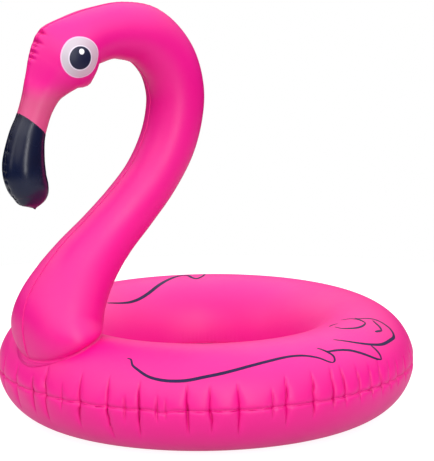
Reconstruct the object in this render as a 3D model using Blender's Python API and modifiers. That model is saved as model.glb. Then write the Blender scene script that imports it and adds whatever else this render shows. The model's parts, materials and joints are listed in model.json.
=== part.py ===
"""Inflatable flamingo pool float: a ring, a neck with head and beak, and two air valves.

The bird looks along -Y, its left side is +X, and the ring lies on the plane z = 0.
The origin is on that plane, under the middle of the whole float.
"""
import math

import bmesh
import bpy
from mathutils import Matrix, Vector

# Driving dimensions, in metres
FILM = 0.0004              # thickness of the vinyl film
GAP = 0.0003               # space kept between touching pieces
SEAM_LIP = 0.004           # weld margin that stands out of a seam
FOOT_LIP = 0.006           # weld margin of the neck's foot on the ring

RING_RADIUS = 0.365        # centre of the ring to the middle of its tube
TUBE_HALF_WIDTH = 0.135
TUBE_HALF_HEIGHT = 0.125
RING_Y = 0.018             # the ring's centre; the beak reaches past the ring in front
RING_STEPS = 56
TOP_FACETS = 10
BOTTOM_FACETS = 9          # odd, so that the lowest facet is the flat band it rests on

FOOT_Y = -0.383            # centre of the neck's oval foot, which lies on the ring
FOOT_HALF_LENGTH = 0.091
FOOT_HALF_WIDTH = 0.143
FOOT_CLEARANCE = 0.0020    # between the ring and the rim of the foot's bulkhead
BULKHEAD_RISE = 0.004      # how far the bulkhead's middle stands off the ring
BULKHEAD_ROWS = 4
FOOT_ROWS = 5              # rows between the foot and the first full section
FOOT_TOP = 1.0             # where the first full section lies, in knots
FOOT_BULGE = 0.11          # how far the wall swells out above the foot, as a share of its height there

# Neck, head and beak: centre y, centre z, half height in the side view, half width
SPINE = [
    (-0.397, 0.233, 0.097, 0.142),
    (-0.376, 0.298, 0.098, 0.128),
    (-0.349, 0.350, 0.090, 0.108),
    (-0.308, 0.405, 0.081, 0.084),
    (-0.250, 0.465, 0.070, 0.070),
    (-0.187, 0.525, 0.066, 0.066),
    (-0.128, 0.589, 0.065, 0.065),
    (-0.083, 0.662, 0.067, 0.067),
    (-0.060, 0.735, 0.068, 0.068),
    (-0.057, 0.802, 0.069, 0.069),
    (-0.080, 0.873, 0.070, 0.070),
    (-0.132, 0.931, 0.070, 0.070),
    (-0.197, 0.952, 0.067, 0.067),
    (-0.252, 0.950, 0.066, 0.066),
    (-0.303, 0.933, 0.075, 0.072),
    (-0.345, 0.902, 0.089, 0.080),
    (-0.380, 0.873, 0.071, 0.066),
    (-0.408, 0.837, 0.049, 0.048),
    (-0.427, 0.799, 0.040, 0.040),
    (-0.442, 0.761, 0.039, 0.038),
    (-0.457, 0.721, 0.043, 0.042),
    (-0.466, 0.665, 0.050, 0.047),
    (-0.462, 0.628, 0.050, 0.046),
    (-0.450, 0.598, 0.045, 0.040),
    (-0.441, 0.572, 0.030, 0.025),
    (-0.439, 0.553, 0.000, 0.000),
]
ROWS_PER_KNOT = 1.5
ACROSS = 10                # facets of a half section
HEAD_KNOT = 16             # the beak's seam lies beyond this knot
BEAK_SEAM_FRONT = Vector((0, -0.480, 0.788))
BEAK_SEAM_BACK = Vector((0, -0.418, 0.730))

# Air valve, about its own axis, which points out of the film
VALVE_SEGMENTS = 32
FLANGE_RADIUS = 0.017
FLANGE_THICKNESS = 0.0010
FILM_HOLE = 0.0125
COLLAR_BORE = 0.0093
COLLAR_WALL = 0.0014
COLLAR_DEPTH = 0.008
STEM_RADIUS = 0.0090
STEM_BORE = 0.0070
STEM_TOP = 0.010
STEM_BOTTOM = -0.012
SEAT_GAP = 0.0007
CAP_RADIUS = 0.0094
CAP_THICKNESS = 0.0016
SHANK_DEPTH = 0.004
SHANK_TOP = 0.0065
SHANK_END = 0.0056
LUG_WIDTH = 0.005
LUG_THICKNESS = 0.0014
LUG_END = 0.0125
HINGE_REACH = 0.0135       # valve axis to the line that the plug swings about
TETHER_THICKNESS = 0.0009
FLAP_RADIUS = 0.0086
FLAP_THICKNESS = 0.0008
FLAP_HINGE = 0.0083

RING_VALVE_SLOPE = math.radians(30)    # how far the ring's valve looks up
NECK_VALVE_KNOT = 5.6

PINK = (0.95, 0.10, 0.42)
CORAL = (0.96, 0.38, 0.45)
NAVY = (0.035, 0.03, 0.10)
CLEAR = (0.86, 0.86, 0.88)


def clear_scene():
    for thing in list(bpy.data.objects):
        bpy.data.objects.remove(thing, do_unlink=True)


def collection(name):
    group = bpy.data.collections.new(name)
    bpy.context.scene.collection.children.link(group)
    return group


def material(name, colour, roughness):
    made = bpy.data.materials.new(name)
    made.use_nodes = True
    shader = made.node_tree.nodes["Principled BSDF"]
    shader.inputs["Base Color"].default_value = (*colour, 1)
    shader.inputs["Roughness"].default_value = roughness
    shader.inputs["Metallic"].default_value = 0
    return made


def new_object(name, mesh, group, look=None):
    thing = bpy.data.objects.new(name, mesh)
    group.objects.link(thing)
    if look:
        mesh.materials.append(look)
    mesh.shade_smooth()
    mesh.set_sharp_from_angle(angle=math.radians(40))
    return thing


def solidify(thing, offset):
    shell = thing.modifiers.new("film", "SOLIDIFY")
    shell.thickness = FILM
    shell.offset = offset
    shell.use_even_offset = True


def screw(thing, steps):
    turn = thing.modifiers.new("turn", "SCREW")
    turn.steps = steps
    turn.render_steps = steps
    turn.use_merge_vertices = True
    turn.merge_threshold = 0.00001


def boolean(thing, cutter, operation="DIFFERENCE"):
    cut = thing.modifiers.new("cut", "BOOLEAN")
    cut.operation = operation
    cut.object = cutter


def profile_mesh(name, points, closed):
    edges = [(i, i + 1) for i in range(len(points) - 1)]
    if closed:
        edges.append((len(points) - 1, 0))
    mesh = bpy.data.meshes.new(name)
    mesh.from_pydata([(r, 0, z) for r, z in points], edges, [])
    return mesh


# ---------------------------------------------------------------- the ring

def arc(facets, start, end):
    return [start + (end - start) * i / facets for i in range(facets + 1)]


def ring_sheet(name, top, group, look):
    """Half of the ring's tube with its two weld margins, turned about the ring's axis."""
    seam = FILM + GAP / 2
    outer = RING_RADIUS + TUBE_HALF_WIDTH + SEAM_LIP
    inner = RING_RADIUS - TUBE_HALF_WIDTH - SEAM_LIP
    if top:
        base = TUBE_HALF_HEIGHT + seam
        height = 2 * TUBE_HALF_HEIGHT - base
        angles = arc(TOP_FACETS, math.pi, 0)
        section = [(RING_RADIUS + TUBE_HALF_WIDTH * math.cos(a), base + height * math.sin(a)) for a in angles]
        points = [(inner, base), *section, (outer, base)]
    else:
        base = TUBE_HALF_HEIGHT - seam
        angles = arc(BOTTOM_FACETS, 0, math.pi)
        section = [(RING_RADIUS + TUBE_HALF_WIDTH * math.cos(a), base * (1 - math.sin(a))) for a in angles]
        for i in (BOTTOM_FACETS // 2, BOTTOM_FACETS // 2 + 1):
            section[i] = (section[i][0], 0)
        points = [(outer, base), *section, (inner, base)]
    thing = new_object(name, profile_mesh(name, points, closed=False), group, look)
    thing.location = (0, RING_Y, 0)
    screw(thing, RING_STEPS)
    solidify(thing, -1)
    return thing


def on_ring(x, y, lift):
    """The point of the ring's upper side above (x, y), lifted off along the surface's normal."""
    across = Vector((x, y - RING_Y, 0))
    out = across.normalized()
    cosine = (across.length - RING_RADIUS) / TUBE_HALF_WIDTH
    sine = math.sqrt(max(0, 1 - cosine * cosine))
    point = Vector((x, y, TUBE_HALF_HEIGHT * (1 + sine)))
    normal = out * (cosine / TUBE_HALF_WIDTH) + Vector((0, 0, sine / TUBE_HALF_HEIGHT))
    return point + normal.normalized() * lift, normal.normalized()


# ---------------------------------------------------------------- neck, head and beak

def smooth(values, t):
    """Catmull-Rom curve through the knots, at knot t."""
    last = len(values) - 1
    i = min(int(t), last - 1)
    f = t - i
    a, b, c, d = (Vector(values[max(0, min(last, j))]) for j in (i - 1, i, i + 1, i + 2))
    return 0.5 * (2 * b + (c - a) * f + (2 * a - 5 * b + 4 * c - d) * f**2 + (3 * b - a - 3 * c + d) * f**3)


def frame_at(t):
    """Centre, heading and throat-side direction of the neck's section at knot t, and its half sizes."""
    step = 0.01
    y, z, height, width = smooth(SPINE, t)
    before = smooth(SPINE, max(0, t - step))
    after = smooth(SPINE, min(len(SPINE) - 1, t + step))
    heading = Vector((0, after[0] - before[0], after[1] - before[1])).normalized()
    throat = Vector((0, -heading.z, heading.y))
    return Vector((0, y, z)), heading, throat, height, width


def half_angles():
    return [math.pi * (j / ACROSS - 0.5) for j in range(ACROSS + 1)]


def foot_row(lift, margin, side):
    """Half of the foot's oval on the ring, moved outwards over the ring's surface by a margin."""
    row = []
    for a in half_angles():
        x = side * FOOT_HALF_WIDTH * math.cos(a)
        y = FOOT_Y - FOOT_HALF_LENGTH * math.sin(a)
        point, normal = on_ring(x, y, lift)
        along = Vector((-side * FOOT_HALF_WIDTH * math.sin(a), -FOOT_HALF_LENGTH * math.cos(a), 0))
        along -= normal * along.dot(normal)
        out = along.cross(normal).normalized() * -side
        point += out * margin
        point.x += side * GAP / 2
        row.append(point)
    return row


def section_row(t, side):
    centre, _, throat, height, width = frame_at(t)
    row = []
    for a in half_angles():
        point = centre + throat * (height * math.sin(a))
        point.x = side * (width * math.cos(a) + GAP / 2)
        row.append(point)
    return row


def neck_rows(side):
    """Rows of points from the foot to the tip, with the knot that each row lies at."""
    lift = FOOT_CLEARANCE + FILM + GAP
    foot = foot_row(lift, 0, side)
    first = section_row(FOOT_TOP, side)
    rows = [(0, foot)]
    for i in range(1, FOOT_ROWS):
        share = i / FOOT_ROWS
        row = []
        for a, low, high in zip(half_angles(), foot, first):
            out = Vector((side * math.cos(a) * FOOT_HALF_LENGTH, -math.sin(a) * FOOT_HALF_WIDTH, 0)).normalized()
            swell = FOOT_BULGE * (high.z - low.z) * math.sin(share * math.pi)
            point = low.lerp(high, share) + out * swell
            point.x = side * max(side * point.x, GAP / 2)
            row.append(point)
        rows.append((FOOT_TOP * share, row))
    last = len(SPINE) - 1
    steps = round((last - FOOT_TOP) * ROWS_PER_KNOT)
    for i in range(steps):
        t = FOOT_TOP + (last - FOOT_TOP) * i / steps
        rows.append((t, section_row(t, side)))
    return rows


def side_surface(side):
    """One side of neck, head and beak as an open surface with its weld margins."""
    mesh = bmesh.new()
    rows = neck_rows(side)
    tip, heading = frame_at(len(SPINE) - 1)[:2]
    tip.x = side * GAP / 2
    grid = []
    for t, row in rows:
        back_to_throat = (row[-1] - row[0]).normalized()
        lip = SEAM_LIP * min(1, 0.25 + t)
        outline = [row[0] - back_to_throat * lip, *row, row[-1] + back_to_throat * lip]
        grid.append([mesh.verts.new(p) for p in outline])
    pole = mesh.verts.new(tip)
    pole_lip = mesh.verts.new(tip + heading * SEAM_LIP)

    def face(corners, knot):
        if side > 0:
            corners = corners[::-1]
        made = mesh.faces.new(corners)
        made.material_index = 1 if knot > HEAD_KNOT else 0

    for i in range(len(grid) - 1):
        low, high = grid[i], grid[i + 1]
        for j in range(len(low) - 1):
            face([low[j], low[j + 1], high[j + 1], high[j]], rows[i][0])
    end = grid[-1]
    for j in range(1, len(end) - 2):
        face([end[j], end[j + 1], pole], len(SPINE))
    face([end[0], end[1], pole, pole_lip], len(SPINE))
    face([pole, end[-2], end[-1], pole_lip], len(SPINE))

    margin = [mesh.verts.new(p) for p in foot_row(FOOT_CLEARANCE + FILM + GAP, FOOT_LIP, side)]
    foot = grid[0][1:-1]
    for j in range(ACROSS):
        face([margin[j], margin[j + 1], foot[j + 1], foot[j]], 0)
    return mesh


def side_panel(name, side, beak, group, look):
    """The neck and head panel, or the beak panel, of one side: they meet at the beak's seam."""
    mesh = side_surface(side)
    along = BEAK_SEAM_BACK - BEAK_SEAM_FRONT
    towards_head = Vector((0, -along.z, along.y)).normalized()
    keep = 1 if beak else -1
    plane = BEAK_SEAM_FRONT - towards_head * (keep * GAP / 2)
    ahead = [f for f in mesh.faces if f.material_index == 1]
    geometry = list({v for f in ahead for v in f.verts} | {e for f in ahead for e in f.edges}) + ahead
    bmesh.ops.bisect_plane(mesh, geom=geometry, dist=1e-6, plane_co=plane, plane_no=towards_head)
    unwanted = []
    for f in mesh.faces:
        in_beak = f.material_index == 1 and (f.calc_center_median() - plane).dot(towards_head) < 0
        if in_beak != beak:
            unwanted.append(f)
    bmesh.ops.delete(mesh, geom=unwanted, context="FACES")
    for f in mesh.faces:
        f.material_index = 0
    data = bpy.data.meshes.new(name)
    mesh.to_mesh(data)
    mesh.free()
    thing = new_object(name, data, group, look)
    solidify(thing, 1)
    return thing


def base_panel(name, group, look):
    """The oval bulkhead that closes the neck's chamber at its foot and lies on the ring."""
    mesh = bmesh.new()
    left = foot_row(FOOT_CLEARANCE, 0, 1)
    right = foot_row(FOOT_CLEARANCE, 0, -1)
    rim_left = foot_row(FOOT_CLEARANCE, FOOT_LIP, 1)
    rim_right = foot_row(FOOT_CLEARANCE, FOOT_LIP, -1)
    rings = []
    for i in range(1, BULKHEAD_ROWS):
        share = i / BULKHEAD_ROWS
        lift = FOOT_CLEARANCE + BULKHEAD_RISE * (1 - share)
        ring = []
        for point in left[:-1] + right[:0:-1]:
            x = point.x * share
            y = FOOT_Y + (point.y - FOOT_Y) * share
            ring.append(on_ring(x, y, lift)[0])
        rings.append(ring)
    rings.append(left[:-1] + right[:0:-1])
    rings.append(rim_left[:-1] + rim_right[:0:-1])
    loops = [[mesh.verts.new(p) for p in ring] for ring in rings]
    middle = mesh.verts.new(on_ring(0, FOOT_Y, FOOT_CLEARANCE + BULKHEAD_RISE)[0])
    count = len(loops[0])
    for j in range(count):
        k = (j + 1) % count
        mesh.faces.new([middle, loops[0][k], loops[0][j]])
        for inner, outer in zip(loops, loops[1:]):
            mesh.faces.new([inner[j], inner[k], outer[k], outer[j]])
    data = bpy.data.meshes.new(name)
    mesh.to_mesh(data)
    mesh.free()
    thing = new_object(name, data, group, look)
    solidify(thing, 1)
    return thing


# ---------------------------------------------------------------- air valves

def place(thing, frame, origin=(0, 0, 0)):
    """Put a piece modelled in the valve's frame into the world, with its origin on its joint."""
    thing.data.transform(Matrix.Translation(-Vector(origin)))
    thing.matrix_world = frame @ Matrix.Translation(Vector(origin))


def turned(name, points, closed, group, look):
    """A turned piece as a real mesh, so that it can be moved, cut or joined afterwards."""
    guide = new_object(name + "_turning", profile_mesh(name, points, closed), group)
    screw(guide, VALVE_SEGMENTS)
    view = bpy.context.evaluated_depsgraph_get()
    mesh = bpy.data.meshes.new_from_object(guide.evaluated_get(view))
    bpy.data.objects.remove(guide, do_unlink=True)
    mesh.name = name
    return new_object(name, mesh, group, look)


def block(name, low, high, group, look=None):
    mesh = bmesh.new()
    bmesh.ops.create_cube(mesh, size=1)
    size = Vector(high) - Vector(low)
    centre = (Vector(high) + Vector(low)) / 2
    bmesh.ops.transform(mesh, matrix=Matrix.Translation(centre) @ Matrix.Diagonal((*size, 1)), verts=mesh.verts)
    data = bpy.data.meshes.new(name)
    mesh.to_mesh(data)
    mesh.free()
    return new_object(name, data, group, look)


def flange(prefix, frame, radii, group, look):
    """Disc welded round the hole in the film, bent to the film, with a collar that guides the stem."""
    low, high = SEAT_GAP, SEAT_GAP + FLANGE_THICKNESS
    collar = COLLAR_BORE + COLLAR_WALL
    points = [
        (COLLAR_BORE, -COLLAR_DEPTH), (COLLAR_BORE, high), (collar, high),
        (0.8 * FLANGE_RADIUS, high), (FLANGE_RADIUS, high - FLANGE_THICKNESS / 2),
        (FLANGE_RADIUS, low), (0.8 * FLANGE_RADIUS, low), (collar, low), (collar, -COLLAR_DEPTH),
    ]
    thing = turned(prefix + "_flange", points, True, group, look)
    for vertex in thing.data.vertices:
        if vertex.co.xy.length > collar + GAP:
            vertex.co.z -= vertex.co.x**2 / (2 * radii[0]) + vertex.co.y**2 / (2 * radii[1])
    place(thing, frame)


def stem(prefix, frame, group, cutters, look):
    """Mouth tube that slides in the collar, with the lug that the tether is hinged on."""
    points = [
        (STEM_BORE, STEM_BOTTOM), (STEM_BORE, STEM_TOP), (STEM_RADIUS, STEM_TOP),
        (STEM_RADIUS, STEM_BOTTOM),
    ]
    tube = turned(prefix + "_stem", points, True, group, look)
    inside = (STEM_BORE + STEM_RADIUS) / 2
    lug = block(prefix + "_lug", (-LUG_END, -LUG_WIDTH / 2, STEM_TOP - LUG_THICKNESS),
                (-inside, LUG_WIDTH / 2, STEM_TOP - GAP / 3), cutters)
    lug.hide_render = True
    lug.display_type = "WIRE"
    place(tube, frame)
    place(lug, frame)
    boolean(tube, lug, "UNION")


def plug(prefix, frame, group, look):
    """Cap and tapered shank that close the stem's mouth; the origin is on the hinge line."""
    low = STEM_TOP + GAP
    high = low + CAP_THICKNESS
    points = [
        (0, high), (0.5 * CAP_RADIUS, high), (CAP_RADIUS - 0.0005, high), (CAP_RADIUS, high - 0.0005),
        (CAP_RADIUS, low), (SHANK_TOP, low), (SHANK_TOP, STEM_TOP - 0.0005),
        (SHANK_END, STEM_TOP - SHANK_DEPTH), (0, STEM_TOP - SHANK_DEPTH),
    ]
    thing = turned(prefix + "_plug", points, False, group, look)
    place(thing, frame, (-HINGE_REACH, 0, STEM_TOP))


def tether(prefix, frame, group, look):
    low = STEM_TOP + GAP
    thing = block(prefix + "_tether", (-HINGE_REACH - 0.0006, -LUG_WIDTH / 2 + 0.0002, low),
                  (-CAP_RADIUS - GAP, LUG_WIDTH / 2 - 0.0002, low + TETHER_THICKNESS), group, look)
    place(thing, frame, (-HINGE_REACH, 0, STEM_TOP))


def check_flap(prefix, frame, group, look):
    """Disc that closes the stem's inner end and swings into the chamber when air is blown in."""
    high = STEM_BOTTOM - GAP
    low = high - FLAP_THICKNESS
    points = [(0, high), (FLAP_RADIUS, high), (FLAP_RADIUS, low), (0, low)]
    thing = turned(prefix + "_check_flap", points, False, group, look)
    place(thing, frame, (FLAP_HINGE, 0, high - FLAP_THICKNESS / 2))


def film_cutter(prefix, frame, group):
    mesh = bmesh.new()
    bmesh.ops.create_cone(mesh, segments=VALVE_SEGMENTS, radius1=FILM_HOLE, radius2=FILM_HOLE,
                          depth=0.03, cap_ends=True)
    data = bpy.data.meshes.new(prefix + "_film_cutter")
    mesh.to_mesh(data)
    mesh.free()
    thing = bpy.data.objects.new(data.name, data)
    group.objects.link(thing)
    thing.hide_render = True
    thing.display_type = "WIRE"
    thing.matrix_world = frame
    return thing


def valve(prefix, frame, radii, film, group, cutters, looks):
    """All of one valve; radii are the film's radii of curvature along the valve's x and y."""
    flange(prefix, frame, radii, group, looks["valve"])
    stem(prefix, frame, group, cutters, looks["valve"])
    plug(prefix, frame, group, looks["valve"])
    tether(prefix, frame, group, looks["valve"])
    check_flap(prefix, frame, group, looks["valve"])
    boolean(film, film_cutter(prefix, frame, cutters))


def valve_frame(point, normal, x_axis):
    x_axis = (x_axis - normal * x_axis.dot(normal)).normalized()
    y_axis = normal.cross(x_axis)
    turn = Matrix((x_axis, y_axis, normal)).transposed().to_4x4()
    return Matrix.Translation(point) @ turn


def ring_valve_frame():
    """On the ring's right side (-X), on the upper slope of its outer wall."""
    slope = math.atan2(math.sin(RING_VALVE_SLOPE) * TUBE_HALF_HEIGHT, math.cos(RING_VALVE_SLOPE) * TUBE_HALF_WIDTH)
    out = RING_RADIUS + TUBE_HALF_WIDTH * math.cos(slope)
    point = Vector((-out, RING_Y, TUBE_HALF_HEIGHT * (1 + math.sin(slope))))
    normal = Vector((-math.cos(RING_VALVE_SLOPE), 0, math.sin(RING_VALVE_SLOPE)))
    return valve_frame(point, normal, Vector((0, 1, 0))), (out / normal.xy.length, TUBE_HALF_HEIGHT)


def neck_valve_frame():
    """On the right side of the neck, facing straight out, a little above the neck's foot."""
    centre, heading, _, _, width = frame_at(NECK_VALVE_KNOT)
    point = centre + Vector((-width - FILM - GAP / 2, 0, 0))
    return valve_frame(point, Vector((-1, 0, 0)), heading), (1.0, width)


def build():
    clear_scene()
    group = collection("flamingo_float")
    cutters = collection("cutters")
    looks = {
        "ring": material("pink_film", PINK, 0.3),
        "neck": material("neck_film", CORAL, 0.3),
        "beak": material("navy_film", NAVY, 0.15),
        "valve": material("valve_vinyl", CLEAR, 0.35),
    }
    top = ring_sheet("ring_top_sheet", True, group, looks["ring"])
    ring_sheet("ring_bottom_sheet", False, group, looks["ring"])
    side_panel("neck_left_panel", 1, False, group, looks["neck"])
    right = side_panel("neck_right_panel", -1, False, group, looks["neck"])
    side_panel("beak_left_panel", 1, True, group, looks["beak"])
    side_panel("beak_right_panel", -1, True, group, looks["beak"])
    base_panel("neck_base_panel", group, looks["neck"])
    frame, radii = ring_valve_frame()
    valve("ring_valve", frame, radii, top, group, cutters, looks)
    frame, radii = neck_valve_frame()
    valve("neck_valve", frame, radii, right, group, cutters, looks)


build()
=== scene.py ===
import json
import math
import random

import bmesh
import bpy
import numpy as np
from mathutils import Matrix, Vector
from mathutils.bvhtree import BVHTree


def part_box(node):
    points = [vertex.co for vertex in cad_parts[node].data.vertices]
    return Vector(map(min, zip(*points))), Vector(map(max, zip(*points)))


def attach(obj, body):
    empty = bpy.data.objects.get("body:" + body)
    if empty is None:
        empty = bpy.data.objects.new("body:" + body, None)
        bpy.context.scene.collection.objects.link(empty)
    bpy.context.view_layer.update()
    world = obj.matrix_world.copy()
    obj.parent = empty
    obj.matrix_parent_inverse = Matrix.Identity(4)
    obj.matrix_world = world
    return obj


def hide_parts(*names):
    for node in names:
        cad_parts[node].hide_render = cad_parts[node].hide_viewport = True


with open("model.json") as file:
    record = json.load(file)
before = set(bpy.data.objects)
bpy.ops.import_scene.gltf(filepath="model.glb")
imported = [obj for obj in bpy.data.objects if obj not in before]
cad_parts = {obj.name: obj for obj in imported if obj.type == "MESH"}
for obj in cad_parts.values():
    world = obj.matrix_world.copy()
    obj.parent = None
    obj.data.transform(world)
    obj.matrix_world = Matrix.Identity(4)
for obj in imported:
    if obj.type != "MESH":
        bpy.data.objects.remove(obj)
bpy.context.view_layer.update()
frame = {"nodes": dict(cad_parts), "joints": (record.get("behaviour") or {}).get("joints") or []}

BODY = "float"
MM = 0.001

# ---- Sizes shared with the frame
FILM = 0.4 * MM
GAP = 0.3 * MM
SEAM_LIP = 4 * MM
ring_low, ring_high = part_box("ring_top_sheet")
RING_CENTRE = Vector(((ring_low.x + ring_high.x) / 2, (ring_low.y + ring_high.y) / 2, 0))
TUBE_HALF_HEIGHT = ring_high.z / 2
TUBE_HALF_WIDTH = 0.135
RING_RADIUS = (ring_high.x - ring_low.x) / 2 - SEAM_LIP - TUBE_HALF_WIDTH
RING_OUTER = RING_RADIUS + TUBE_HALF_WIDTH
HALF_GIRTH = math.pi * math.sqrt((TUBE_HALF_WIDTH**2 + TUBE_HALF_HEIGHT**2) / 2)

# ---- Camera
CAMERA_PLACE = Vector((9.61, -5.53, 2.871))
CAMERA_AZIMUTH = math.radians(-30.16)
CAMERA_ELEVATION = math.radians(12.34)
CAMERA_ROLL = math.radians(-0.82)
CAMERA_LENS = 370


def camera():
    data = bpy.data.cameras.new("camera")
    data.lens = CAMERA_LENS
    data.clip_start = 0.1
    data.clip_end = 100
    thing = bpy.data.objects.new("camera", data)
    bpy.context.scene.collection.objects.link(thing)
    flat = math.cos(CAMERA_ELEVATION)
    back = Vector((flat * math.cos(CAMERA_AZIMUTH), flat * math.sin(CAMERA_AZIMUTH),
                   math.sin(CAMERA_ELEVATION)))
    thing.location = CAMERA_PLACE
    turn = (-back).to_track_quat("-Z", "Y").to_matrix().to_4x4() @ Matrix.Rotation(CAMERA_ROLL, 4, "Z")
    thing.rotation_euler = turn.to_euler()
    bpy.context.scene.camera = thing


camera()

# ---------------------------------------------------------------- mesh helpers

def link(name, mesh, look):
    thing = bpy.data.objects.new(name, mesh)
    bpy.context.scene.collection.objects.link(thing)
    mesh.materials.append(look)
    mesh.shade_smooth()
    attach(thing, BODY)
    return thing


def grid_bmesh(points, wrap=False, flip=False):
    """A surface through a (rows, columns, 3) array of points; wrap joins the last column to the first."""
    mesh = bmesh.new()
    rows, columns = points.shape[:2]
    verts = [[mesh.verts.new(p) for p in row] for row in points.tolist()]
    for i in range(rows - 1):
        for j in range(columns if wrap else columns - 1):
            k = (j + 1) % columns
            corners = [verts[i][j], verts[i][k], verts[i + 1][k], verts[i + 1][j]]
            mesh.faces.new(corners[::-1] if flip else corners)
    return mesh, verts


def finish_mesh(mesh, name):
    data = bpy.data.meshes.new(name)
    mesh.to_mesh(data)
    mesh.free()
    return data


def film_thickness(thing, offset):
    shell = thing.modifiers.new("film", "SOLIDIFY")
    shell.thickness = FILM
    shell.offset = offset


def smooth_curve(knots, t):
    """Catmull-Rom curve through rows of knots, at an array of parameters t."""
    knots = np.asarray(knots, float)
    t = np.atleast_1d(np.asarray(t, float))
    last = len(knots) - 1
    i = np.minimum(t.astype(int), last - 1)
    f = (t - i)[:, None]
    a, b, c, d = (knots[np.clip(i + k, 0, last)] for k in (-1, 0, 1, 2))
    return 0.5 * (2 * b + (c - a) * f + (2 * a - 5 * b + 4 * c - d) * f**2 + (3 * b - a - 3 * c + d) * f**3)


def graded(length, first, growth, largest):
    """Distances from 0 to length whose steps start small at both ends and grow towards the middle."""
    half, step = [0.0], first
    while half[-1] + step < length / 2:
        half.append(half[-1] + step)
        step = min(step * growth, largest)
    half = np.array(half) * (length / 2) / (half[-1] + step / 2)
    return np.concatenate([half, length - half[::-1]])


def wavy(angle, seed, waves, low, high):
    """Smooth closed noise round the ring: a sum of waves with seeded phases, about -1 to 1."""
    draw = random.Random(seed)
    total = np.zeros_like(angle)
    for _ in range(waves):
        total += draw.uniform(0.5, 1) * np.sin(draw.randint(low, high) * angle + draw.uniform(0, 2 * math.pi))
    return total / math.sqrt(waves)


# ---------------------------------------------------------------- the ring's film

# Creases across the outer seam: azimuth from +X in degrees, then depth, reach up and reach down in mm
CREASES = [
    (-106, 3.2, 42, 45), (-95, 3.2, 40, 60), (-85.5, 2.8, 30, 55), (-80, 4.4, 66, 64), (-73, 2.0, 32, 20),
    (-67, 4.2, 68, 60), (-58, 3.4, 70, 86), (-52.5, 1.6, 30, 34), (-48.5, 3.2, 68, 76), (-43.5, 1.7, 34, 24),
    (-41, 1.2, 26, 18), (-35.2, 3.3, 64, 62), (-28.9, 3.2, 58, 58), (-21.4, 3.5, 62, 68), (-12, 1.8, 40, 22),
    (-8, 3.2, 70, 48), (0.3, 3.2, 72, 32), (6.8, 3.2, 75, 14), (11, 3.0, 73, 12), (16.7, 3.0, 60, 12),
    (21.8, 2.8, 54, 12), (26.5, 2.8, 60, 12), (31, 2.3, 43, 12), (35.6, 2.3, 38, 12), (42, 2.2, 40, 16),
    (50, 2.2, 44, 20),
]


def all_creases():
    """The listed creases and seeded ones round the rest of the ring, each with its own slant and bow."""
    draw = random.Random(7)
    creases = list(CREASES)
    azimuth = CREASES[-1][0] + 7.5
    while azimuth < 360 + CREASES[0][0] - 4:
        major = draw.random() < 0.68
        depth = draw.uniform(2.4, 3.5) if major else draw.uniform(1.2, 1.9)
        reach = (45, 72) if major else (22, 38)
        creases.append((azimuth, depth, draw.uniform(*reach), draw.uniform(*reach)))
        azimuth += draw.uniform(6.0, 9.5) if major else draw.uniform(4.0, 6.0)
    return [(*crease, draw.uniform(-0.05, 0.05), draw.uniform(-0.7, 0.7)) for crease in creases]


RING_COLUMNS = 1080
BAND_ROW = 2.9 * MM
BAND_ROWS = 36
BAND = BAND_ROW * BAND_ROWS
# What a crease starts as (a fold this many times its depth) and the extra length that keeps it open
FOLD_SHARE = 4.0
FOLD_WIDTH, FOLD_WIDENING = 3.4, 4.0    # in mm: at its end, and added where it meets the seam
SLACK_SHARE = 6.0
SLACK_SPREAD = 11 * MM
BLOW_STEPS = 90
BLOW_PUSH = 0.05 * MM
BEND_STIFFNESS = 0.015
# Relief beside the outer seam and the inner one: height or depth, and how far it reaches
PUCKER, PUCKER_REACH = 0.55 * MM, 6 * MM
GROOVE, GROOVE_REACH = 5.0 * MM, 3.2 * MM
INNER_GROOVE, INNER_GROOVE_REACH = 1.6 * MM, 3.5 * MM
INNER_PUCKER, INNER_PUCKER_REACH = 0.4 * MM, 12 * MM
# The outer seam sags at one azimuth, as in the photo
SAG_AZIMUTH = -42
SAG, SAG_REACH = 6 * MM, 16 * MM
SEAM_RISE_REACH = 22 * MM
SEAM_GAP_REACH = 9 * MM
INNER_SEAM_DROP = 15 * MM
INNER_DROP_REACH = 70 * MM
LOWEST = 0.3 * MM          # the film just clears the floor
OUTER_LIP, INNER_LIP = 3.8 * MM, 3.0 * MM
AZIMUTHS = np.arange(RING_COLUMNS) / RING_COLUMNS * 2 * math.pi


def tube_points(azimuth, s, height=0.0):
    """Points at a height over the smooth tube; s runs from the outer seam, positive over the top."""
    theta = s / HALF_GIRTH * math.pi
    normal_out, normal_up = np.cos(theta) / TUBE_HALF_WIDTH, np.sin(theta) / TUBE_HALF_HEIGHT
    size = np.hypot(normal_out, normal_up)
    across = RING_RADIUS + TUBE_HALF_WIDTH * np.cos(theta) + height * normal_out / size
    z = TUBE_HALF_HEIGHT * (1 + np.sin(theta)) + height * normal_up / size
    x = RING_CENTRE.x + across * np.cos(azimuth)
    y = RING_CENTRE.y + across * np.sin(azimuth)
    return np.stack([x, y, z], -1)


def crease_shares(azimuth, s):
    """For each crease, its depth, its strength at distance s from the seam and the distance to its valley."""
    for where, depth, up, down, slant, bow in all_creases():
        reach = np.where(s > 0, up, down) * MM + 6 * MM
        share = np.clip(1 - (s / reach) ** 2, 0, 1) ** 1.3
        away = np.angle(np.exp(1j * (azimuth - math.radians(where)))) * RING_OUTER
        yield depth * MM, share, away - slant * s - bow * s**2


def pull_together(a, b, rest, free_a, free_b):
    """Moves the ends of many film threads along them until each has its rest length."""
    way = b - a
    length = np.sqrt((way * way).sum(-1))
    move = ((length - rest) / length / np.maximum(free_a + free_b, 1e-9))[..., None] * way
    a += free_a[..., None] * move
    b -= free_b[..., None] * move


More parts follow.
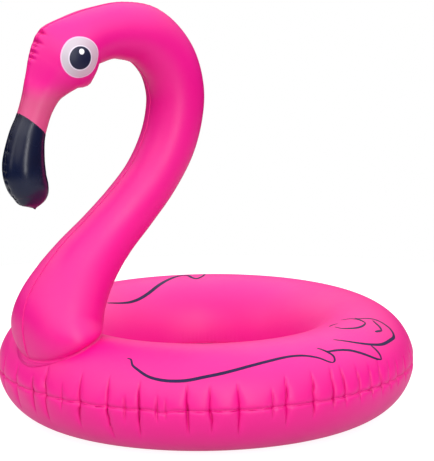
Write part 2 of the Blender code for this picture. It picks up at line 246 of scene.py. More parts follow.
def blown_band():
    """The film either side of the outer seam, blown up from sheets with too much length at the seam.

    Its threads round the ring get extra length at each crease, so the pressure folds them into valleys."""
    s = np.arange(-BAND_ROWS, BAND_ROWS + 1) * BAND_ROW
    azimuth, down = np.meshgrid(AZIMUTHS, s)
    smooth = tube_points(azimuth, down)
    rest_round = np.linalg.norm(np.roll(smooth, -1, 1) - smooth, axis=-1)
    rest_down = np.linalg.norm(smooth[1:] - smooth[:-1], axis=-1)
    column = 2 * math.pi * RING_OUTER / RING_COLUMNS
    height = np.zeros_like(azimuth)
    for depth, share, away in crease_shares(azimuth, down):
        fold_width = (FOLD_WIDTH + FOLD_WIDENING * share) * MM
        height -= FOLD_SHARE * depth * share * np.exp(-np.abs(away) / fold_width)
        beside = np.abs(away + column / 2)
        spread = np.where(beside < SLACK_SPREAD, 1 + np.cos(math.pi * beside / SLACK_SPREAD), 0)
        spread = spread / 2 / SLACK_SPREAD
        rest_round += SLACK_SHARE * depth * share * spread * column
    film = tube_points(azimuth, down, height)
    free = np.zeros(azimuth.shape)
    free[2:-2] = 1
    for _ in range(BLOW_STEPS):
        round_it = np.roll(film, -1, 1) - np.roll(film, 1, 1)
        down_it = np.zeros_like(film)
        down_it[1:-1] = film[2:] - film[:-2]
        normal = np.cross(round_it, down_it)[1:-1]
        normal /= np.linalg.norm(normal, axis=-1)[..., None]
        film[1:-1] += normal * (free[1:-1] * BLOW_PUSH)[..., None]
        for _ in range(2):
            pull_together(film[:, ::2], film[:, 1::2], rest_round[:, ::2], free[:, ::2], free[:, 1::2])
            later = np.roll(film, -1, 1)
            pull_together(later[:, ::2], later[:, 1::2], rest_round[:, 1::2], free[:, 1::2], free[:, ::2])
            film = np.roll(later, 1, 1)
            for first in (0, 1):
                a, b = film[first:-1:2], film[first + 1 :: 2]
                pull_together(a, b, rest_down[first::2], free[first:-1:2], free[first + 1 :: 2])
        for axis in (0, 1):
            bend = np.roll(film, -1, axis) + np.roll(film, 1, axis) - 2 * film
            film += BEND_STIFFNESS * bend * free[..., None]
    outward = tube_points(azimuth, down, 1.0) - smooth
    height = ((film - smooth) * outward).sum(-1)
    return film - outward * np.median(height, axis=1)[:, None, None]


def seam_relief(azimuth, s):
    """Small puckers and the groove beside the outer seam, and the groove beside the inner one."""
    out = np.abs(s)
    pucker = wavy(azimuth, 11, 7, 170, 330) * (0.6 + 0.4 * wavy(azimuth, 5, 3, 7, 23))
    height = PUCKER * pucker * np.exp(-out / PUCKER_REACH) - GROOVE * np.exp(-out / GROOVE_REACH)
    inner = HALF_GIRTH - out
    height -= INNER_GROOVE * np.exp(-inner / INNER_GROOVE_REACH)
    return height + INNER_PUCKER * wavy(azimuth, 23, 6, 90, 180) * np.exp(-inner / INNER_PUCKER_REACH)


def seam_rise(azimuth):
    """The outer seam wanders up and down a little."""
    rise = 1.0 * MM * wavy(azimuth, 3, 5, 9, 40) + 0.5 * MM * wavy(azimuth, 4, 5, 60, 150)
    low = np.angle(np.exp(1j * (azimuth - math.radians(SAG_AZIMUTH)))) * RING_OUTER
    return rise - SAG * np.exp(-((low / SAG_REACH) ** 2))


def ring_grid(band, side):
    """Rows of the top (side 1) or bottom (side -1) sheet, from the outer seam to the inner one."""
    rest = HALF_GIRTH - BAND
    rows, step = [], 1.2 * MM
    while sum(rows) < rest - 6 * MM:
        rows.append(step)
        step = min(step * 1.22, 7 * MM)
    beyond = BAND + rest * (1 - np.cumsum([0] + rows)[:-1] / sum(rows))[::-1]
    s = np.concatenate([np.arange(BAND_ROWS + 1) * BAND_ROW, beyond])
    azimuth, out = np.meshgrid(AZIMUTHS, s)
    points = tube_points(azimuth, side * out)
    near = band[BAND_ROWS:] if side > 0 else band[BAND_ROWS::-1]
    points[: BAND_ROWS + 1] = near
    lift = tube_points(azimuth, side * out, 1.0) - tube_points(azimuth, side * out)
    points += lift * seam_relief(azimuth, out)[..., None]
    inner = HALF_GIRTH - out
    apart = np.exp(-out / SEAM_GAP_REACH) + np.exp(-inner / SEAM_GAP_REACH)
    points[..., 2] += seam_rise(azimuth) * np.exp(-out / SEAM_RISE_REACH)
    points[..., 2] -= INNER_SEAM_DROP * np.exp(-((inner / INNER_DROP_REACH) ** 2))
    points[..., 2] += side * (FILM + GAP / 2) * apart
    points[..., 2] = np.maximum(points[..., 2], LOWEST)
    return points


def ring_sheet(name, points, side, look):
    """One of the ring's two sheets, with the weld margins that stand out of its two seams."""
    lips = []
    for row, sign, margin in ((points[0], 1, OUTER_LIP), (points[-1], -1, INNER_LIP)):
        out = np.stack([np.cos(AZIMUTHS), np.sin(AZIMUTHS), 0 * AZIMUTHS], -1) * sign
        for share in (0.5, 1.0):
            reach = margin * share * (1 + 0.12 * wavy(AZIMUTHS, 31, 5, 60, 140))
            droop = np.clip(0.75 + 0.3 * wavy(AZIMUTHS, 37, 5, 20, 90), 0, 1.2) * (sign > 0)
            lip = row + out * (reach * np.cos(droop))[:, None]
            lip[:, 2] -= reach * np.sin(droop)
            lips.append(lip)
    points = np.concatenate([[lips[1], lips[0]], points, [lips[2], lips[3]]])
    mesh, _ = grid_bmesh(points, wrap=True, flip=side < 0)
    return link(name, finish_mesh(mesh, name), look)


def skin_points(azimuth, s, skin):
    """Points over the ring's finished top skin, at azimuth and distance s from the outer seam."""
    azimuth, s = np.broadcast_arrays(azimuth, s)
    smooth = tube_points(azimuth, s)
    outward = tube_points(azimuth, s, 1.0) - smooth
    height = np.zeros(azimuth.shape)
    for index in np.ndindex(azimuth.shape):
        hit = skin.ray_cast(Vector(smooth[index] + outward[index] * 0.03), Vector(-outward[index]), 0.06)
        if hit[0]:
            height[index] = 0.03 - hit[3]
    return smooth + outward * height[..., None]


# ---------------------------------------------------------------- neck, head and beak

# Centre y, centre z, half height in the side view, half width: the frame's, with a little less under the
# chin and a fuller beak tip
SPINE = [
    (-0.397, 0.233, 0.097, 0.142),
    (-0.376, 0.298, 0.098, 0.128),
    (-0.349, 0.350, 0.090, 0.108),
    (-0.308, 0.405, 0.081, 0.084),
    (-0.250, 0.465, 0.070, 0.070),
    (-0.187, 0.525, 0.066, 0.066),
    (-0.128, 0.589, 0.065, 0.065),
    (-0.083, 0.662, 0.067, 0.067),
    (-0.060, 0.735, 0.068, 0.068),
    (-0.057, 0.802, 0.069, 0.069),
    (-0.080, 0.873, 0.070, 0.070),
    (-0.132, 0.931, 0.070, 0.070),
    (-0.197, 0.952, 0.067, 0.067),
    (-0.2525, 0.9520, 0.0640, 0.066),
    (-0.3057, 0.9383, 0.0690, 0.072),
    (-0.3480, 0.9059, 0.0840, 0.080),
    (-0.380, 0.873, 0.071, 0.066),
    (-0.408, 0.837, 0.049, 0.048),
    (-0.427, 0.799, 0.040, 0.040),
    (-0.442, 0.761, 0.039, 0.038),
    (-0.457, 0.721, 0.043, 0.042),
    (-0.466, 0.665, 0.050, 0.047),
    (-0.462, 0.628, 0.050, 0.046),
    (-0.450, 0.598, 0.045, 0.040),
    (-0.442, 0.572, 0.034, 0.025),
    (-0.439, 0.553, 0.000, 0.000),
]
LAST_KNOT = len(SPINE) - 1
BEAK_SEAM_FRONT = Vector((0, -0.480, 0.788))
BEAK_SEAM_BACK = Vector((0, -0.418, 0.730))
FOOT_Y = -0.382
FOOT_HALF_LENGTH = 0.080
FOOT_HALF_WIDTH = 0.140
FOOT_TOP = 1.2
FOOT_ROWS = 30
FOOT_LIFT = 0.9 * MM
FOOT_SMOOTH = 3
# How far the neck leans out where it leaves the ring, at its sides, its front and its back
FOOT_LEAN_SIDE, FOOT_LEAN_FRONT, FOOT_LEAN_BACK = 1.0, 0.38, 0.3
FOOT_TUCK = 4 * MM
SIDE_GIRTH = 0.21
SEAM_DIP, SEAM_DIP_REACH = 1.3 * MM, 2.5 * MM
HEAD_FROM_KNOT = 13.8
HEAD_ROW, NECK_ROW = 2.2 * MM, 4.5 * MM
OUTLINE_LIP = 2.6 * MM
FOOT_LIP, FOOT_LIP_FRONT, FOOT_LIP_SPREAD = 2.2 * MM, 13 * MM, 0.6
BEAK_LAP = 3 * MM          # how far the neck's film runs on under the beak's
BEAK_LIFT = 0.5 * MM       # and how far the beak's stands over it

# Pleats beside the neck's outline seams: knot, crown (-1) or throat (+1) side, depth and reach in mm
PLEATS = [
    (14.55, -1, 2.2, 13), (14.8, -1, 2.6, 15), (15.12, -1, 12.0, 26), (15.5, -1, 12.0, 32),
    (15.68, -1, 8.0, 24), (15.95, -1, 10.5, 28), (16.2, -1, 9.0, 28), (16.5, -1, 2.0, 14),
    (14.6, 1, 2.2, 14), (15.3, 1, 2.4, 16),
    (20.1, -1, 2.0, 14), (20.55, -1, 3.0, 20), (20.95, -1, 3.0, 22), (21.35, -1, 3.4, 22),
    (21.75, -1, 2.2, 16), (22.15, -1, 3.8, 20), (22.6, -1, 4.2, 22), (23.0, -1, 4.4, 22), (23.4, -1, 4.4, 20),
    (23.8, -1, 4.0, 16), (24.2, -1, 3.6, 14), (23.6, 1, 2.4, 12), (24.3, 1, 2.6, 12),
    (0.35, -1, 5.0, 40), (1.0, -1, 2.2, 22),
]
# Corners of the flat pattern that stay pointed: knot, side, height in mm, reach in knots before and after
CORNERS = [(15.05, -1, 0.8, 0.3, 0.3)]
# The throat's seam, as knot and rise in mm: the chin's blunt corner and the hollows on both sides of it
CHIN = [(12.4, 0), (13, 2.4), (13.3, 3.2), (13.6, 1.5), (13.8, -1.2), (14.2, -2.5), (14.5, -3.3), (14.8, -4),
        (15, -0.5), (15.2, 4), (15.45, 5.6), (15.7, 3.6), (15.85, -1), (16, -6), (16.2, -6.5), (16.5, -4.2),
        (16.8, -0.7), (17.2, 0)]
CORNER_REACH = 40 * MM
# Stretches whose crown seam stands out in a blunt edge: first and last knot, and the fade at each end
EDGES = [(-1, 1.6, 2.4), (14.7, 17.0, 0.9)]
EDGE_RISE = 0.12
EDGE_THIN = 0.25


def spine_frame(t):
    """Centre, throat-side direction, half height and half width of the sections at knots t."""
    values = smooth_curve(SPINE, t)
    ahead = smooth_curve(SPINE, np.minimum(t + 0.01, LAST_KNOT))
    behind = smooth_curve(SPINE, np.maximum(t - 0.01, 0))
    heading = (ahead - behind)[:, :2]
    heading /= np.linalg.norm(heading, axis=1)[:, None]
    throat = np.stack([-heading[:, 1], heading[:, 0]], 1)
    return values[:, :2], heading, throat, values[:, 2], values[:, 3]


def spine_length(t):
    """Distance along the spine from the foot to knots t."""
    fine = np.linspace(0, LAST_KNOT, 2000)
    path = smooth_curve(SPINE, fine)[:, :2]
    steps = np.linalg.norm(np.diff(path, axis=0), axis=1)
    return np.interp(t, fine, np.concatenate([[0], np.cumsum(steps)]))


def neck_height(t, along, quarter):
    """Relief of the side panel; quarter runs from -1 at the crown seam to +1 at the throat seam."""
    height = np.zeros(np.broadcast(t, quarter).shape)
    for side in (-1, 1):
        inward = (1 - side * quarter) * SIDE_GIRTH / 2
        height -= SEAM_DIP * np.exp(-inward / SEAM_DIP_REACH)
    for knot, side, depth, reach in PLEATS:
        inward = (1 - side * quarter) * SIDE_GIRTH / 2
        share = np.clip(inward / (reach * MM), 0, 1)
        away = np.abs(along - spine_length(knot))
        height -= depth * MM * (1 - share**2) ** 1.3 * np.exp(-away / ((3.2 - 1.2 * share) * MM))
    for knot, side, rise, before, after in CORNERS:
        inward = (1 - side * quarter) * SIDE_GIRTH / 2
        bump = np.exp(-np.abs(t - knot) / np.where(t < knot, before, after))
        height += rise * MM * bump * np.exp(-((inward / CORNER_REACH) ** 2))
    inward = (1 - quarter) * SIDE_GIRTH / 2
    height += np.interp(t, *np.transpose(CHIN)) * MM * np.exp(-((inward / CORNER_REACH) ** 2))
    return height


def over_ring(x, y, skin):
    """Points of the ring's top skin above (x, y), with the skin's small folds smoothed out along the row."""
    dx, dy = x - RING_CENTRE.x, y - RING_CENTRE.y
    theta = np.arccos(np.clip((np.hypot(dx, dy) - RING_RADIUS) / TUBE_HALF_WIDTH, -1, 1))
    azimuth, s = np.arctan2(dy, dx), theta / math.pi * HALF_GIRTH
    smooth = tube_points(azimuth, s)
    outward = tube_points(azimuth, s, 1.0) - smooth
    height = ((skin_points(azimuth, s, skin) - smooth) * outward).sum(-1)
    padded = np.concatenate([height[:1]] * FOOT_SMOOTH + [height] + [height[-1:]] * FOOT_SMOOTH)
    window = np.ones(2 * FOOT_SMOOTH + 1) / (2 * FOOT_SMOOTH + 1)
    return smooth + outward * (np.convolve(padded, window, "valid") + FOOT_LIFT)[:, None]


def foot_row(angles, margin, side, skin):
    """Half of the foot's oval on the ring, widened by a margin over the ring's surface."""
    x = side * FOOT_HALF_WIDTH * np.cos(angles)
    y = FOOT_Y - FOOT_HALF_LENGTH * np.sin(angles)
    row = over_ring(x, y, skin)
    grown = over_ring(x * 1.02, FOOT_Y + (y - FOOT_Y) * 1.02, skin)
    out = grown - row
    row = row + out / np.linalg.norm(out, axis=1)[:, None] * np.broadcast_to(margin, angles.shape)[:, None]
    row[:, 0] += side * GAP / 2
    return row


def neck_rows(side, skin):
    """Grid rows of one side, from the foot to just before the tip, and the knot of each row."""
    distances = graded(SIDE_GIRTH, 0.9 * MM, 1.3, 5 * MM)
    angles = math.pi * (distances / SIDE_GIRTH - 0.5)
    quarter = 2 * distances / SIDE_GIRTH - 1

    def sections(t):
        centre, _, throat, height, width = spine_frame(t)
        relief = neck_height(t[:, None], spine_length(t)[:, None], quarter[None, :])
        crown = np.clip(-np.sin(angles), 0, 1)[None, :] * np.ones_like(t)[:, None]
        edge = np.zeros_like(t)
        for start, end, fade in EDGES:
            edge = np.maximum(edge, np.clip(np.minimum(t - start, end - t) / fade + 1, 0, 1))
        edge = edge[:, None] ** 2 * (3 - 2 * edge[:, None])
        size = height[:, None] * (np.sin(angles)[None, :] - EDGE_RISE * edge * crown**6)
        size = size + relief * np.sin(angles)
        x = (width[:, None] * (1 - EDGE_THIN * edge * crown**3) + relief) * np.cos(angles)
        y = centre[:, 0, None] + throat[:, 0, None] * size
        z = centre[:, 1, None] + throat[:, 1, None] * size
        x = np.maximum(x, 0) + GAP / 2
        return np.stack([side * x, y, z], -1)

    knots, length = [], spine_length(LAST_KNOT)
    at = spine_length(FOOT_TOP)
    fine = np.linspace(0, LAST_KNOT, 2000)
    lengths = spine_length(fine)
    while at < length - 1.5 * MM:
        t = float(np.interp(at, lengths, fine))
        knots.append(t)
        at += HEAD_ROW if t > HEAD_FROM_KNOT else NECK_ROW
    upper = sections(np.array(knots))
    foot = foot_row(angles, 0.0, side, skin)
    first = upper[0]
    out = np.stack([side * np.cos(angles) * FOOT_HALF_LENGTH, -np.sin(angles) * FOOT_HALF_WIDTH,
                    0 * angles], -1)
    out /= np.linalg.norm(out, axis=1)[:, None]
    end = np.where(angles > 0, FOOT_LEAN_FRONT, FOOT_LEAN_BACK)
    lean = (end + (FOOT_LEAN_SIDE - end) * np.cos(angles) ** 2)[:, None]
    tall = np.linalg.norm(first - foot, axis=1)[:, None]
    leave = (np.array([0, 0, 1]) + out * lean) * tall
    arrive = (upper[1] - first) / np.linalg.norm(upper[1] - first, axis=1)[:, None] * tall
    lower = []
    for share in np.linspace(0, 1, FOOT_ROWS, endpoint=False):
        row = foot * (1 - share) ** 2 * (1 + 2 * share) + leave * share * (1 - share) ** 2
        row += first * share**2 * (3 - 2 * share) - arrive * share**2 * (1 - share)
        row -= out * FOOT_TUCK * np.exp(-share * tall / (5 * MM))
        row[:, 0] = side * np.maximum(side * row[:, 0], GAP / 2)
        lower.append(row)
    knots = [FOOT_TOP * i / FOOT_ROWS for i in range(FOOT_ROWS)] + knots
    return np.concatenate([lower, upper]), np.array(knots), angles


def side_surface(side, skin):
    """One side of neck, head and beak, with the weld margins along its outline and its foot."""
    rows, knots, angles = neck_rows(side, skin)
    back_to_throat = rows[:, -1] - rows[:, 0]
    back_to_throat /= np.linalg.norm(back_to_throat, axis=1)[:, None]
    margin = OUTLINE_LIP * np.minimum(1, 0.2 + 4 * knots)[:, None]
    margin = margin * (1 + 0.1 * np.sin(37 * knots))[:, None]
    lips = [rows[:, 0] - back_to_throat * margin, rows[:, 0] - back_to_throat * margin / 2]
    lips += [rows[:, -1] + back_to_throat * margin / 2, rows[:, -1] + back_to_throat * margin]
    grid = np.concatenate([lips[0][:, None], lips[1][:, None], rows, lips[2][:, None], lips[3][:, None]], 1)
    mesh, verts = grid_bmesh(grid, flip=side > 0)
    end = verts[-1]
    centre, heading = spine_frame(np.array([LAST_KNOT - 0.001]))[:2]
    tip = Vector((side * GAP / 2, *centre[0]))
    pole = mesh.verts.new(tip)
    pole_lip = mesh.verts.new(tip + Vector((0, *heading[0])) * margin[-1, 0])

    def face(corners):
        mesh.faces.new(corners[::-1] if side > 0 else corners)

    for j in range(2, len(end) - 3):
        face([end[j], end[j + 1], pole])
    face([end[0], end[1], end[2], pole, pole_lip])
    face([pole, end[-3], end[-2], end[-1], pole_lip])
    wide = FOOT_LIP + FOOT_LIP_FRONT * np.exp(-(((angles - math.pi / 2) / FOOT_LIP_SPREAD) ** 2))
    foot_margin = foot_row(angles, wide, side, skin)
    edge = [mesh.verts.new(p) for p in foot_margin.tolist()]
    foot = verts[0][2:-2]
    for j in range(len(edge) - 1):
        face([edge[j], edge[j + 1], foot[j + 1], foot[j]])
    mark = mesh.faces.layers.int.new("ahead")
    for f in mesh.faces:
        c = f.calc_center_median()
        f[mark] = int(c.y < -0.36 and c.z > 0.53)
    return mesh, mark


def side_panel(name, side, beak, look, skin):
    """The neck and head panel, or the beak panel; the beak's film laps over the neck's at their seam."""
    mesh, mark = side_surface(side, skin)
    along = BEAK_SEAM_BACK - BEAK_SEAM_FRONT
    towards_head = Vector((0, -along.z, along.y)).normalized()
    plane = BEAK_SEAM_FRONT - towards_head * (0 if beak else BEAK_LAP)
    ahead = [f for f in mesh.faces if f[mark]]
    geometry = list({v for f in ahead for v in f.verts} | {e for f in ahead for e in f.edges}) + ahead
    bmesh.ops.bisect_plane(mesh, geom=geometry, dist=1e-6, plane_co=plane, plane_no=towards_head)
    unwanted = []
    for f in mesh.faces:
        in_beak = f[mark] == 1 and (f.calc_center_median() - plane).dot(towards_head) < 0
        if in_beak != beak:
            unwanted.append(f)
    bmesh.ops.delete(mesh, geom=unwanted, context="FACES")
    if beak:
        mesh.normal_update()
        for v in mesh.verts:
            v.co += v.normal * BEAK_LIFT
    return link(name, finish_mesh(mesh, name), look)


def foot_panel(name, look, skin):
    """The oval bulkhead under the neck, whose rim shows as a thin margin round the foot."""
    turn = np.linspace(0, 2 * math.pi, 160, endpoint=False)
    rows = []
    for share in (0.03, 0.2, 0.4, 0.6, 0.8, 0.92, 1.0, 1.03):
        x = FOOT_HALF_WIDTH * share * np.cos(turn)
        row = over_ring(x, FOOT_Y + FOOT_HALF_LENGTH * share * np.sin(turn), skin)
        rows.append(row - [0, 0, 0.7 * MM])
    mesh, verts = grid_bmesh(np.array(rows), wrap=True)
    mesh.faces.new(verts[0][::-1])
    return link(name, finish_mesh(mesh, name), look)


# ---------------------------------------------------------------- printed lines

# Each stroke: knots of (azimuth in degrees, height angle in degrees), then its greatest width in mm
LEFT_STROKES = [
    ([(-54.6, 57), (-53.2, 55.5), (-52, 48.5), (-50.2, 44), (-46.5, 36.5), (-42.2, 33), (-38, 32.6),
      (-34.5, 34), (-30.8, 37), (-24.8, 41.5), (-17.2, 48), (-10.8, 52.5), (-5.5, 55), (-1.8, 55),
      (1.5, 53), (5, 48), (7.8, 41), (9.2, 39)], 7.5),
    ([(9.2, 39), (10.2, 41.5), (10.5, 47), (9.5, 52.5), (8.2, 57.5), (7, 60.5)], 6.0),
    ([(8.9, 54.5), (10, 53), (13.5, 52), (17.5, 48.5), (21, 42), (24, 35), (26.5, 29.5), (28.5, 27)], 6.5),
    ([(28.5, 27), (28.9, 32), (28.6, 39), (27.8, 45.5)], 6.5),
]
TAIL_STROKES = [
    ([(16, 67.5), (19.5, 61), (23.5, 53.5), (28.2, 46.5), (33.2, 41.5), (39.2, 40.5), (43.8, 41), (46.4, 48),
      (47, 56.5), (47, 65), (46, 72), (44, 78), (42, 83)], 7.5),
    ([(38, 97.5), (40.5, 90), (41, 83), (40.5, 77.5), (39.5, 72)], 5.8),
    ([(39.5, 72), (35.8, 71), (32, 72.5), (28.8, 76.5), (26.5, 82), (26.5, 89.5)], 7.2),
    ([(42.5, 86.5), (41.2, 80), (39.5, 72)], 6.5),
    ([(26, 95), (29.2, 96), (32, 94)], 4.3),
    ([(44.8, 69), (43.2, 63), (42.2, 58.5), (40.5, 54)], 7.2),
    ([(40.5, 54), (38.8, 55.5), (36.5, 57)], 6.5),
]
RIGHT_STROKES = [
    ([(204.8, 123), (197.8, 127.5), (191.5, 129.5), (184.5, 127.5), (177.2, 120.5), (170.2, 109), (164.5, 98),
      (159.5, 88), (156.8, 87.5), (155.2, 97), (153.2, 100.5), (150.8, 93), (149.8, 82)], 8.5),
]
MIRRORED = [([(180 - a, h) for a, h in knots], width) for knots, width in LEFT_STROKES]
INK_LIFT = 0.3 * MM


def stroke_mesh(strokes, skin):
    """Flat ribbons of ink that lie on the ring's skin, thick in the middle and thin at the ends."""
    mesh = bmesh.new()
    for knots, width in strokes:
        count = 12 * (len(knots) - 1)
        share = np.linspace(0, 1, count + 1)
        path = smooth_curve(knots, share * (len(knots) - 1))
        azimuth = np.radians(path[:, 0])
        s = path[:, 1] / 180 * HALF_GIRTH
        centre = tube_points(azimuth, s)
        outward = tube_points(azimuth, s, 1.0) - centre
        across = np.cross(outward, np.gradient(centre, axis=0))
        across /= np.linalg.norm(across, axis=1)[:, None]
        half = width / 2 * MM * (0.3 + 0.8 * np.sin(math.pi * share) ** 0.6)
        rows = []
        for side in (-1, -0.5, 0, 0.5, 1):
            rim = centre + across * (side * half)[:, None]
            row = []
            for point, normal in zip(rim, outward):
                hit = skin.ray_cast(Vector(point + normal * 0.02), Vector(-normal), 0.04)[0]
                base = np.array(hit) if hit else point
                row.append(mesh.verts.new(base + normal * INK_LIFT))
            rows.append(row)
        for low, high in zip(rows, rows[1:]):
            for j in range(count):
                mesh.faces.new([low[j], low[j + 1], high[j + 1], high[j]])
    return mesh


# ---------------------------------------------------------------- materials

def new_material(name):
    look = bpy.data.materials.new(name)
    look.use_nodes = True
    return look, look.node_tree, look.node_tree.nodes["Principled BSDF"]


class Graph:
    """Short names for the shader nodes that the materials below are wired from."""

    def __init__(self, tree):
        self.tree = tree
        self.place = tree.nodes.new("ShaderNodeTexCoord").outputs["Object"]

    def put(self, socket, value):
        if isinstance(value, bpy.types.NodeSocket):
            self.tree.links.new(value, socket)
        else:
            socket.default_value = value

    def math(self, kind, a, b=0.0):
        node = self.tree.nodes.new("ShaderNodeMath")
        node.operation = kind
        self.put(node.inputs[0], a)
        self.put(node.inputs[1], b)
        return node.outputs[0]

    def axes(self):
        node = self.tree.nodes.new("ShaderNodeSeparateXYZ")
        self.put(node.inputs[0], self.place)
        return node.outputs

    def noise(self, scale, detail=2.0):
        node = self.tree.nodes.new("ShaderNodeTexNoise")
        node.inputs["Scale"].default_value = scale
        node.inputs["Detail"].default_value = detail
        self.put(node.inputs["Vector"], self.place)
        return node.outputs["Fac"]

    def ramp(self, value, start, end, low=0.0, high=1.0):
        node = self.tree.nodes.new("ShaderNodeMapRange")
        node.interpolation_type = "SMOOTHSTEP"
        self.put(node.inputs["Value"], value)
        for key, number in (("From Min", start), ("From Max", end), ("To Min", low), ("To Max", high)):
            node.inputs[key].default_value = number
        return node.outputs["Result"]

    def mix(self, share, a, b):
        node = self.tree.nodes.new("ShaderNodeMix")
        node.data_type = "RGBA"
        self.put(node.inputs["Factor"], share)
        self.put(node.inputs["A"], a)
        self.put(node.inputs["B"], b)
        return node.outputs["Result"]

    def bump(self, height, strength, distance):
        node = self.tree.nodes.new("ShaderNodeBump")
        node.inputs["Strength"].default_value = strength
        node.inputs["Distance"].default_value = distance
        self.put(node.inputs["Height"], height)
        return node.outputs["Normal"]


def linear(red, green, blue):
    """Linear colour with alpha from display values of 0 to 255."""
    shares = [c / 255 for c in (red, green, blue)]
    return (*[((c + 0.055) / 1.055) ** 2.4 if c > 10 / 255 else c / 12.92 for c in shares], 1)


PINK = (0.83, 0.0012, 0.262, 1)
DEEP_PINK = (0.79, 0.001, 0.240, 1)
CORAL = linear(212, 74, 128)
NAVY = linear(15, 22, 50)
INK = linear(40, 26, 74)


def film_surface(graph, shader, colour, roughness, gloss=0.46):
    graph.put(shader.inputs["Base Color"], colour)
    uneven = graph.ramp(graph.noise(9.0), 0.3, 0.7, roughness - 0.03, roughness + 0.04)
    graph.put(shader.inputs["Roughness"], uneven)
    fine = graph.noise(420.0, 1.0)
    broad = graph.noise(38.0, 2.0)
    grain = graph.math("ADD", graph.math("MULTIPLY", fine, 0.15), broad)
    graph.put(shader.inputs["Normal"], graph.bump(grain, 0.10, 0.0012))
    shader.inputs["IOR"].default_value = 1.5
    shader.inputs["Specular IOR Level"].default_value = gloss


def film_pink(graph):
    return graph.mix(graph.ramp(graph.noise(3.0), 0.35, 0.65), PINK, DEEP_PINK)


def ring_material():
    look, tree, shader = new_material("pink_ring_film")
    graph = Graph(tree)
    film_surface(graph, shader, film_pink(graph), 0.46)
    return look


EYE_Y, EYE_Z, EYE_RADIUS = -0.3475, 0.9133, 0.0485
PUPIL_Y, PUPIL_Z, PUPIL_RADIUS = -0.3505, 0.9135, 0.0272
GLINT_Y, GLINT_Z, GLINT_RADIUS = -0.3475, 0.9285, 0.0066
INK_EDGE = 0.5 * MM


def disc(graph, y, z, centre_y, centre_z, radius):
    """1 inside a round print on the side panel, 0 outside."""
    dy = graph.math("SUBTRACT", y, centre_y)
    dz = graph.math("SUBTRACT", z, centre_z)
    squares = graph.math("ADD", graph.math("MULTIPLY", dy, dy), graph.math("MULTIPLY", dz, dz))
    away = graph.math("SQRT", squares)
    return graph.ramp(away, radius - INK_EDGE, radius + INK_EDGE, 1.0, 0.0)


def neck_material():
    look, tree, shader = new_material("pink_neck_film")
    graph = Graph(tree)
    x, y, z = graph.axes()
    in_front = graph.ramp(y, -0.33, -0.37)
    above = graph.ramp(z, 0.60, 0.70)
    fade = graph.math("MULTIPLY", graph.math("MULTIPLY", in_front, above), graph.ramp(z, 0.862, 0.806))
    colour = graph.mix(fade, film_pink(graph), CORAL)
    slope = graph.math("ADD", y, graph.math("MULTIPLY", z, -0.4))
    white = graph.mix(graph.ramp(slope, -0.75, -0.67), linear(201, 188, 200), linear(207, 174, 192))
    layers = [
        (EYE_Y, EYE_Z, EYE_RADIUS, linear(232, 190, 222)),
        (EYE_Y, EYE_Z, EYE_RADIUS - 2.6 * MM, white),
        (PUPIL_Y, PUPIL_Z, PUPIL_RADIUS + 2.4 * MM, linear(226, 214, 232)),
        (PUPIL_Y, PUPIL_Z, PUPIL_RADIUS, linear(4, 7, 50)),
        (GLINT_Y, GLINT_Z, GLINT_RADIUS, linear(244, 240, 252)),
    ]
    for centre_y, centre_z, radius, ink in layers:
        colour = graph.mix(disc(graph, y, z, centre_y, centre_z, radius), colour, ink)
    film_surface(graph, shader, colour, 0.46)
    return look


def beak_material():
    look, tree, shader = new_material("navy_beak_film")
    graph = Graph(tree)
    colour = graph.mix(graph.ramp(graph.noise(7.0), 0.35, 0.65), NAVY, linear(20, 20, 42))
    film_surface(graph, shader, colour, 0.27, 0.38)
    return look


def ink_material():
    look, tree, shader = new_material("navy_ink")
    graph = Graph(tree)
    colour = graph.mix(graph.ramp(graph.noise(60.0), 0.35, 0.65), INK, linear(34, 26, 64))
    film_surface(graph, shader, colour, 0.42, 0.15)
    return look


def valve_material():
    look, tree, shader = new_material("clear_valve_vinyl")
    graph = Graph(tree)
    colour = graph.mix(graph.noise(80.0), linear(232, 228, 232), linear(214, 210, 216))
    graph.put(shader.inputs["Base Color"], colour)
    graph.put(shader.inputs["Roughness"], graph.ramp(graph.noise(200.0), 0.3, 0.7, 0.3, 0.42))
    graph.put(shader.inputs["Normal"], graph.bump(graph.noise(900.0), 0.15, 0.0003))
    shader.inputs["Subsurface Weight"].default_value = 0.3
    shader.inputs["Subsurface Radius"].default_value = (0.004, 0.004, 0.004)
    return look


# ---------------------------------------------------------------- build the looks

def punch(data, centre, normal, radius):
    """Round hole in a skin for a valve: points inside it go, and those next to them move to its rim."""
    mesh = bmesh.new()
    mesh.from_mesh(data)
    inside = []
    for v in mesh.verts:
        away = v.co - centre
        depth = away.dot(normal)
        flat = away - normal * depth
        if abs(depth) < 0.03 and flat.length < radius:
            inside.append(v)
    rim = {n for v in inside for f in v.link_faces for n in f.verts} - set(inside)
    bmesh.ops.delete(mesh, geom=inside, context="VERTS")
    for v in rim:
        away = v.co - centre
        flat = away - normal * away.dot(normal)
        v.co -= flat * (1 - radius / flat.length)
    mesh.to_mesh(data)
    mesh.free()


def node_axis(joint_name):
    joint = next(j for j in frame["joints"] if j["name"] == joint_name)
    return Vector(joint["axis"]).normalized()


def node_middle(node):
    low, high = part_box(node)
    return (low + high) / 2


pink_ring = ring_material()
pink_neck = neck_material()
navy_beak = beak_material()
ink = ink_material()
vinyl = valve_material()

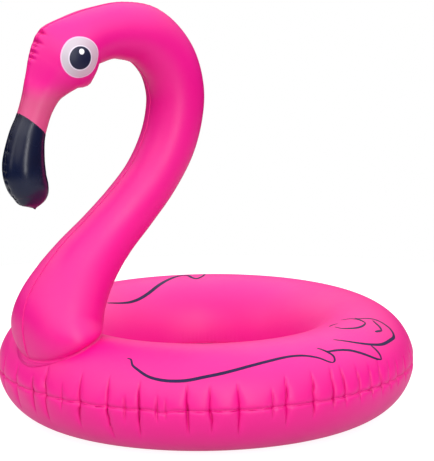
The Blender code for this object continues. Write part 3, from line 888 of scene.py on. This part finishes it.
FILM_HOLE = 13 * MM
band = blown_band()
top_grid = ring_grid(band, 1)
top = ring_sheet("ring_top_film", top_grid, 1, pink_ring)
skin = BVHTree.FromPolygons([v.co[:] for v in top.data.vertices], [p.vertices[:] for p in top.data.polygons])
punch(top.data, node_middle("ring_valve_stem"), node_axis("ring_valve_push_in"), FILM_HOLE)
bottom = ring_sheet("ring_bottom_film", ring_grid(band, -1), -1, pink_ring)
left = side_panel("neck_left_film", 1, False, pink_neck, skin)
right = side_panel("neck_right_film", -1, False, pink_neck, skin)
punch(right.data, node_middle("neck_valve_stem"), node_axis("neck_valve_push_in"), FILM_HOLE)
beak_left = side_panel("beak_left_film", 1, True, navy_beak, skin)
beak_right = side_panel("beak_right_film", -1, True, navy_beak, skin)
foot = foot_panel("neck_foot_film", pink_neck, skin)
for piece in (left, right, beak_left, beak_right, foot):
    film_thickness(piece, 1)
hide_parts("ring_top_sheet")
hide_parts("ring_bottom_sheet")
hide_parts("neck_left_panel")
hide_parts("neck_right_panel")
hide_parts("beak_left_panel")
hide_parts("beak_right_panel")
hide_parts("neck_base_panel")

for name, strokes in (("print_wing_left", LEFT_STROKES), ("print_tail", TAIL_STROKES),
                      ("print_wing_right_inner", RIGHT_STROKES), ("print_wing_right", MIRRORED)):
    link(name, finish_mesh(stroke_mesh(strokes, skin), name), ink)

for name, thing in frame["nodes"].items():
    if "valve" in name:
        thing.data.materials.clear()
        thing.data.materials.append(vinyl)

# ---------------------------------------------------------------- floor and light

FLOOR_RADIUS = 1.7
SKY_BELOW, SKY_ABOVE = 0.0, 1.6


def floor():
    mesh = bmesh.new()
    bmesh.ops.create_circle(mesh, cap_ends=True, segments=96, radius=FLOOR_RADIUS)
    look, tree, shader = new_material("pale_floor")
    shader.inputs["Base Color"].default_value = (0.3, 0.3, 0.3, 1)
    shader.inputs["Emission Color"].default_value = (1, 1, 1, 1)
    graph = Graph(tree)
    seen = tree.nodes.new("ShaderNodeLightPath").outputs["Is Camera Ray"]
    graph.put(shader.inputs["Emission Strength"], graph.ramp(seen, 0.0, 1.0, 0.36, 0.9))
    shader.inputs["Roughness"].default_value = 0.9
    shader.inputs["Specular IOR Level"].default_value = 0.1
    data = finish_mesh(mesh, "floor")
    data.materials.append(look)
    thing = bpy.data.objects.new("floor", data)
    bpy.context.scene.collection.objects.link(thing)


def studio():
    """White behind the object, and for its light a room that is dark low down and bright overhead."""
    world = bpy.data.worlds.new("studio")
    world.use_nodes = True
    graph = Graph(world.node_tree)
    background = world.node_tree.nodes["Background"]
    background.inputs["Color"].default_value = (1, 1, 1, 1)
    height = graph.axes()[2]
    light = graph.ramp(height, 0.0, 0.75, SKY_BELOW, SKY_ABOVE)
    seen = world.node_tree.nodes.new("ShaderNodeLightPath").outputs["Is Camera Ray"]
    graph.put(background.inputs["Strength"], graph.math("MAXIMUM", light, seen))
    bpy.context.scene.world = world


def sun(name, azimuth, elevation, angle, strength):
    """A distant soft light, which reaches the floor evenly."""
    data = bpy.data.lights.new(name, "SUN")
    data.angle = math.radians(angle)
    data.energy = strength
    thing = bpy.data.objects.new(name, data)
    bpy.context.scene.collection.objects.link(thing)
    a, e = math.radians(azimuth), math.radians(elevation)
    back = Vector((math.cos(e) * math.cos(a), math.cos(e) * math.sin(a), math.sin(e)))
    thing.rotation_euler = (-back).to_track_quat("-Z", "Y").to_euler()


floor()
studio()
sun("front", -58, 30, 50, 0.45)
for elevation in (-8, 6, 20, 34):
    sun(f"key_{elevation}", -13, elevation, 13, 0.36)
for elevation in (2, 18, 34):
    sun(f"side_{elevation}", -95, elevation, 18, 0.1)
bpy.context.scene.view_settings.view_transform = "Standard"
